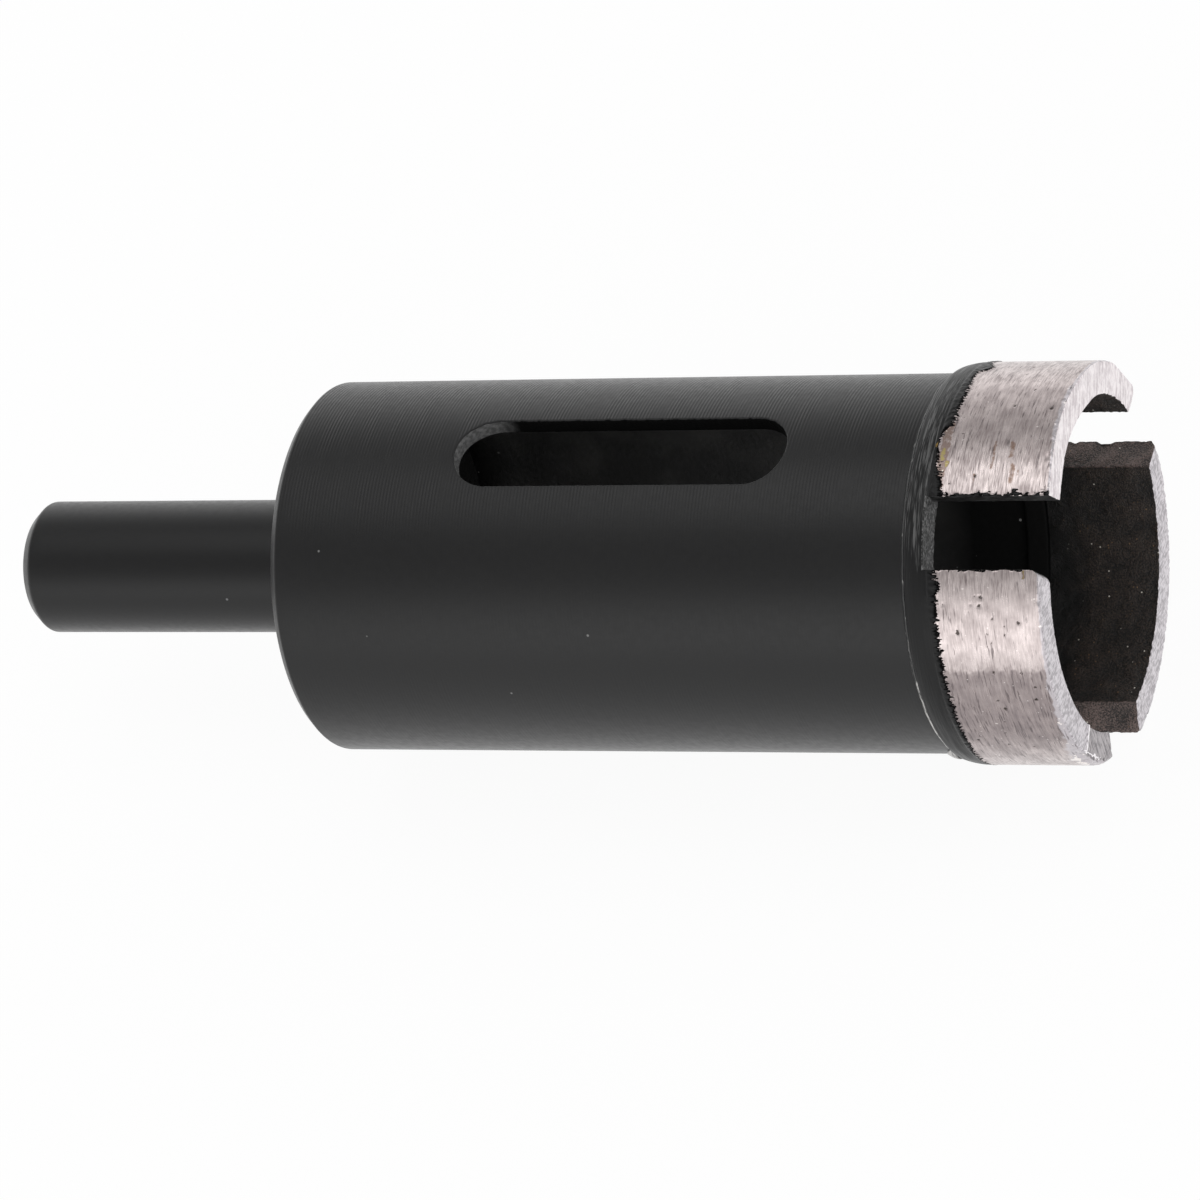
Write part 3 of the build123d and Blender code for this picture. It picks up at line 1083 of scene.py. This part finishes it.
def blockShell(xs, shares, radii, place):
    # the six faces of a block as one closed grid. Sides are numbered: 0 outside, 1 rim, 2 inside,
    # 3 root, 4 starting end, 5 finishing end
    nx, ns, nr = len(xs) - 1, len(shares) - 1, len(radii) - 1
    known, points, faces, sides = {}, [], [], []

    def corner(i, j, k):
        if (i, j, k) not in known:
            known[(i, j, k)] = len(points)
            points.append(place(xs[i], shares[j], radii[k]))
        return known[(i, j, k)]

    def face(side, flip, *corners):
        quad = [corner(*c) for c in corners]
        faces.append(quad[::-1] if flip else quad)
        sides.append(side)

    for i in range(nx):
        for j in range(ns):
            face(2, False, (i, j, 0), (i + 1, j, 0), (i + 1, j + 1, 0), (i, j + 1, 0))
            face(0, True, (i, j, nr), (i + 1, j, nr), (i + 1, j + 1, nr), (i, j + 1, nr))
    for j in range(ns):
        for k in range(nr):
            face(3, False, (0, j, k), (0, j + 1, k), (0, j + 1, k + 1), (0, j, k + 1))
            face(1, True, (nx, j, k), (nx, j + 1, k), (nx, j + 1, k + 1), (nx, j, k + 1))
    for i in range(nx):
        for k in range(nr):
            face(4, True, (i, 0, k), (i + 1, 0, k), (i + 1, 0, k + 1), (i, 0, k + 1))
            face(5, False, (i, ns, k), (i + 1, ns, k), (i + 1, ns, k + 1), (i, ns, k + 1))
    return points, faces, sides


def addSmallPits(name):
    # a few more pits at seeded random places on the outside, most of them faint
    chance = random.Random(segments[name]["seed"])
    start, end = arcSpan(name, crownRadius)
    for _ in range(wear["smallPits"]):
        x = chance.uniform(segmentX + 1.0, rimX - 0.3)
        angle = chance.uniform(start + 2, end - 2)
        segments[name]["pits"].append((x, angle, chance.uniform(0.07, 0.1)))


def makeSegment(name):
    segment = segments[name]
    edge, spacing = wear["edge"], wear["spacing"]
    middle = (crownRadius + crownBore) / 2
    start, end = arcSpan(name, middle)
    length = math.radians(end - start) * middle
    addSmallPits(name)
    planes = [chipPlane(name, *chip) for chip in segment["chips"]]
    xs = [segmentX + v for v in ladder(rimX - segmentX, spacing, edge)]
    shares = [v / length for v in ladder(length, spacing, edge)]
    radii = [crownBore + v for v in ladder(crownRadius - crownBore, spacing * 1.5, edge)]
    points, faces, sides = blockShell(xs, shares, radii, lambda x, s, r: segmentPoint(name, x, s, r, planes))
    endSlots = {"skin": 3, "paint": 4}
    slotOf = [0, 1, 2, 3] + [endSlots[segment["ends"][segment[end]]] for end in ("from", "to")]
    slots = [slotOf[side] for side in sides]
    if name == "front":
        # the last part of the rim broke away in a rougher facet
        for index, face in enumerate(faces):
            if sides[index] == 1 and points[face[0]][5] > wear["facetAngle"]:
                slots[index] = 5
    rim = rimPolished if name == "top" else rimFiled
    piece = meshPiece("segment_" + name + "_sintered", [p[0] for p in points], faces,
                      [outerMetal, rim, skinInside, skinEnds, gapBlack, rimTorn], slots)
    marks = piece.data.color_attributes.new("marks", "FLOAT_COLOR", "POINT")
    marks.data.foreach_set("color", [c for p in points for c in p[1]])
    for column, label in ((2, "bareDepth"), (3, "filed"), (4, "burrGlint")):
        values = piece.data.attributes.new(label, "FLOAT", "POINT")
        values.data.foreach_set("value", [p[column] for p in points])
    standFor(piece, "segment_" + name)


brazeLayer = {"edge": 0.03, "spacing": 0.05, "spacingAcross": 0.4, "stepAngle": 1.2}


def makeBrazeLayer(name):
    start, end = arcSpan(name, crownRadius)
    steps = int((end - start) / brazeLayer["stepAngle"])
    edge = brazeLayer["edge"]

    def place(x, share, radius):
        # flush with the ring and the segment, so only its ends and its bore side are rounded
        x, along, radius = roundBlock(x, share, radius, ringFrontX - edge, segmentX + edge, edge, name)[0]
        return at(x, radius, arcSpan(name, radius)[0] + math.degrees(along / radius))

    xs = [ringFrontX + v for v in ladder(segmentX - ringFrontX, brazeLayer["spacing"], edge)]
    shares = [step / steps for step in range(steps + 1)]
    radii = [crownBore + v for v in ladder(crownRadius - crownBore, brazeLayer["spacingAcross"], edge)]
    points, faces = blockShell(xs, shares, radii, place)[:2]
    piece = meshPiece("braze_" + name + "_layer", points, faces, [brazeMetal])
    standFor(piece, "braze_" + name)


for segmentName in segments:
    makeSegment(segmentName)
    makeBrazeLayer(segmentName)
print("crown made")


# Studio

studio = {
    "floorReach": 1600.0,   # mm from the bit to the floor's edge
    "floor": "#fbfbfb",
    "light": "#ffffff",
    "floorOwnLight": 0.94,  # share of plain white that the camera and reflections see in the floor
    "floorMirrored": 1.14,  # how bright that white is in reflections: the board is overexposed
    "lightLow": 1.3,        # the room's light near the floor and overhead
    "lightHigh": 0.58,
}


def makeFloor():
    # matt white board: the shadow stays on it, and where it is seen it runs into the background
    reach = studio["floorReach"] * mm
    corners = [Vector((x * reach, y * reach, 0)) for x, y in ((-1, -1), (1, -1), (1, 1), (-1, 1))]
    material, add = newMaterial("matt_white_board")[:2]
    board = add("BsdfDiffuse", {"Color": toLinear(studio["floor"])})
    seen, mirrored, through = (add("LightPath", out=f"Is {kind} Ray")
                               for kind in ("Camera", "Glossy", "Transmission"))
    strength = add("Mix", {0: seen, 2: studio["floorMirrored"], 3: 1.0})
    white = add("Emission", {"Color": toLinear(studio["light"]), "Strength": strength})
    direct = add("Math", {0: seen, 1: mirrored}, operation="MAXIMUM")
    direct = add("Math", {0: direct, 1: through}, operation="MAXIMUM")
    share = add("Math", {0: direct, 1: studio["floorOwnLight"]}, operation="MULTIPLY")
    mixed = add("MixShader", {0: share, 1: board, 2: white})
    add("OutputMaterial", {"Surface": mixed})
    floor = meshPiece("studio_floor", corners, [[0, 1, 2, 3]], [material])


def makeSky():
    # the room: white near the floor and dimmer overhead, the same for every kind of ray
    world = bpy.data.worlds.new("studio_room")
    bpy.context.scene.world = world
    world.use_nodes = True
    world.node_tree.nodes.clear()
    add = partial(addNode, world.node_tree)
    up = add("SeparateXYZ", {0: add("TexCoord", out="Generated")}, "Z")
    height = add("MapRange", {0: up, 1: 0.1, 2: 0.75}, interpolation_type="SMOOTHSTEP")
    strength = add("Mix", {0: height, 2: studio["lightLow"], 3: studio["lightHigh"]})
    light = add("Background", {"Color": toLinear(studio["light"]), "Strength": strength})
    add("OutputWorld", {"Surface": light})


# soft boxes along the bit, placed by their angle about its axis
lamps = {
    "overhead": {"angle": 84.0, "distance": 480.0, "width": 300.0, "length": 460.0, "watts": 0.5},
    "front": {"angle": 170.0, "distance": 480.0, "width": 400.0, "length": 460.0, "watts": 0.39},
}


def makeLamps():
    for name, lamp in lamps.items():
        data = bpy.data.lights.new("softbox_" + name, "AREA")
        data.shape = "RECTANGLE"
        data.size = lamp["length"] * mm
        data.size_y = lamp["width"] * mm
        data.energy = lamp["watts"]
        holder = addObject("softbox_" + name, data)
        holder.location = at(0, lamp["distance"], lamp["angle"])
        toBit = (at(0, 0, 0) - holder.location).normalized()
        side = Vector((1, 0, 0))
        holder.rotation_euler = Matrix((side, side.cross(toBit), -toBit)).transposed().to_euler()
        holder.visible_camera = False


photoCamera = {
    "place": (199.745, -280.434, 383.459),   # mm
    "aim": (3.082, -2.002, 12.496),
    "roll": -27.57,                           # degrees about the line of sight
    "lens": 212.46,
}


def makeCamera():
    data = bpy.data.cameras.new("photo_camera")
    data.lens = photoCamera["lens"]
    data.sensor_width = 36.0
    data.clip_start = 0.01
    data.clip_end = 20.0
    holder = addObject("photo_camera", data)
    place = Vector(photoCamera["place"]) * mm
    sight = Vector(photoCamera["aim"]) * mm - place
    holder.location = place
    holder.rotation_mode = "QUATERNION"
    holder.rotation_quaternion = (sight.to_track_quat("-Z", "Y")
                                  @ Quaternion((0, 0, 1), math.radians(photoCamera["roll"])))
    bpy.context.scene.camera = holder


makeFloor()
makeSky()
makeLamps()
makeCamera()
bpy.context.scene.view_settings.view_transform = "Standard"
print("studio made")
